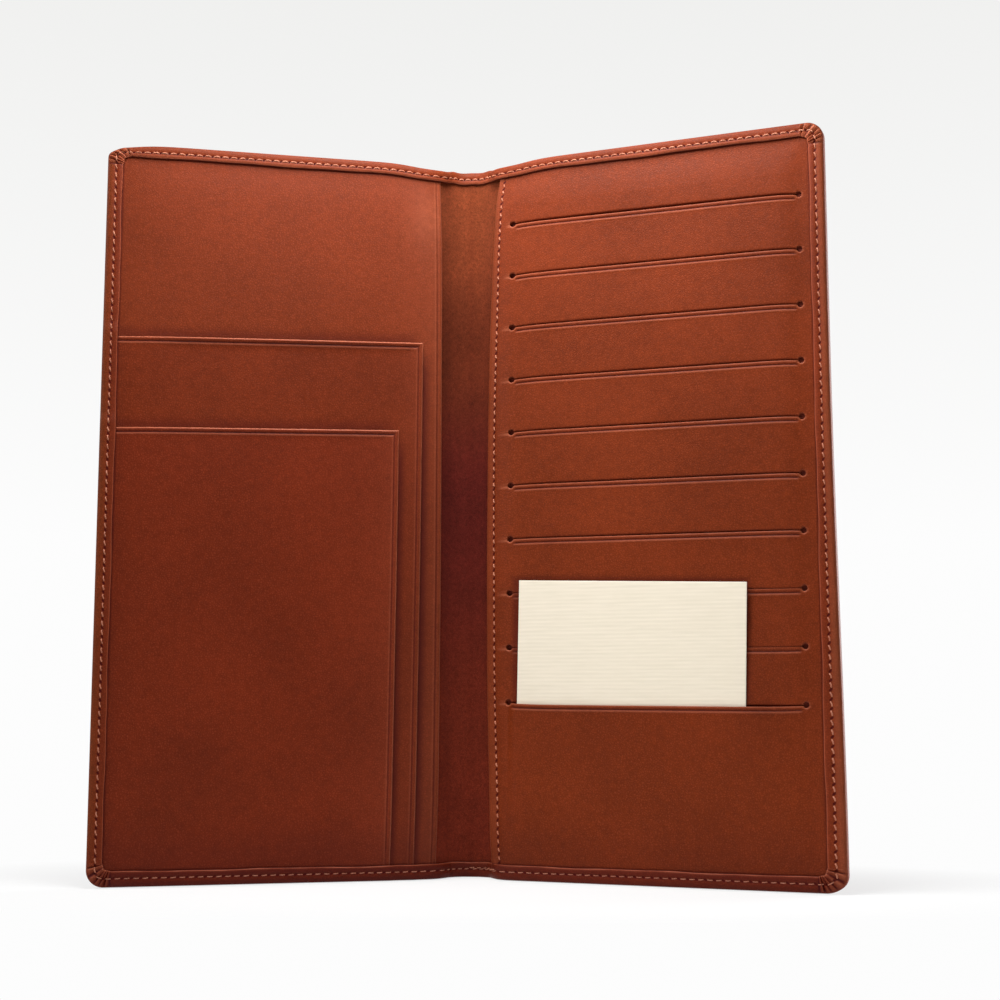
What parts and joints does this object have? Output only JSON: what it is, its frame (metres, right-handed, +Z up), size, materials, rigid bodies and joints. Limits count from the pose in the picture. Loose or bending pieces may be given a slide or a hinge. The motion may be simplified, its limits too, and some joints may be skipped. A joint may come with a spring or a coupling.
{
  "type": "long bifold wallet",
  "caption": "Long leather travel wallet that folds once down its spine, with nested document pockets on one leaf and slit card slots holding a loose card on the other.",
  "frame": {"origin": "on the surface the wallet stands on, under the middle of its box", "axes": "+Z up along the spine, +X to the reader's right across the open leaves, -Y out of the open side of the V"},
  "size_m": [0.2144, 0.0404, 0.2206],
  "materials": {
    "cover_leather": "smooth calf, soft sheen, fine grain",
    "panel_leather": "smooth calf, soft sheen, creased edges",
    "suede_lining": "matte napped lining leather",
    "stiffener_board": "plain bonded board",
    "liner_cloth": "thin plain-woven lining",
    "thread": "waxed sewing thread",
    "card_paper": "cream laid paper, blank"
  },
  "bodies": {
    "spine": {"spine_cover": "cover_leather", "spine_lining": "suede_lining", "spine_bottom_seam": "thread", "spine_top_seam": "thread"},
    "left_leaf": {"left_cover": "cover_leather", "left_stiffener": "stiffener_board", "left_lining": "suede_lining", "ticket_panel": "panel_leather", "boarding_pass_panel": "panel_leather", "passport_panel": "panel_leather", "left_edge_seam": "thread"},
    "right_leaf": {"right_cover": "cover_leather", "right_stiffener": "stiffener_board", "right_lining": "suede_lining", "slot_panel": "panel_leather", "right_edge_seam": "thread", "gutter_seam": "thread", "card_pocket_01": "liner_cloth", "card_pocket_02": "liner_cloth", "card_pocket_03": "liner_cloth", "card_pocket_04": "liner_cloth", "card_pocket_05": "liner_cloth", "card_pocket_06": "liner_cloth", "card_pocket_07": "liner_cloth", "card_pocket_08": "liner_cloth", "card_pocket_09": "liner_cloth", "card_pocket_10": "liner_cloth"},
    "card": {"insert_card": "card_paper"}
  },
  "joints": [
    {"name": "left_fold", "type": "hinge", "parent": "spine", "child": "left_leaf", "pos_m": [-0.00703, 0.01611, 0.1103], "axis": [0, 0, 1], "range_deg": [-16.9, 73.1]},
    {"name": "right_fold", "type": "hinge", "parent": "spine", "child": "right_leaf", "pos_m": [0.00703, 0.01611, 0.1103], "axis": [0, 0, 1], "range_deg": [-73.1, 16.9]},
    {"name": "card_slide", "type": "slide", "parent": "right_leaf", "child": "card", "axis": [-0.0087, -0.0288, 0.9995], "range_m": [0, 0.05]}
  ],
  "couplings": [
    {"joint": "right_fold", "follows": "left_fold", "ratio": -1}
  ]
}
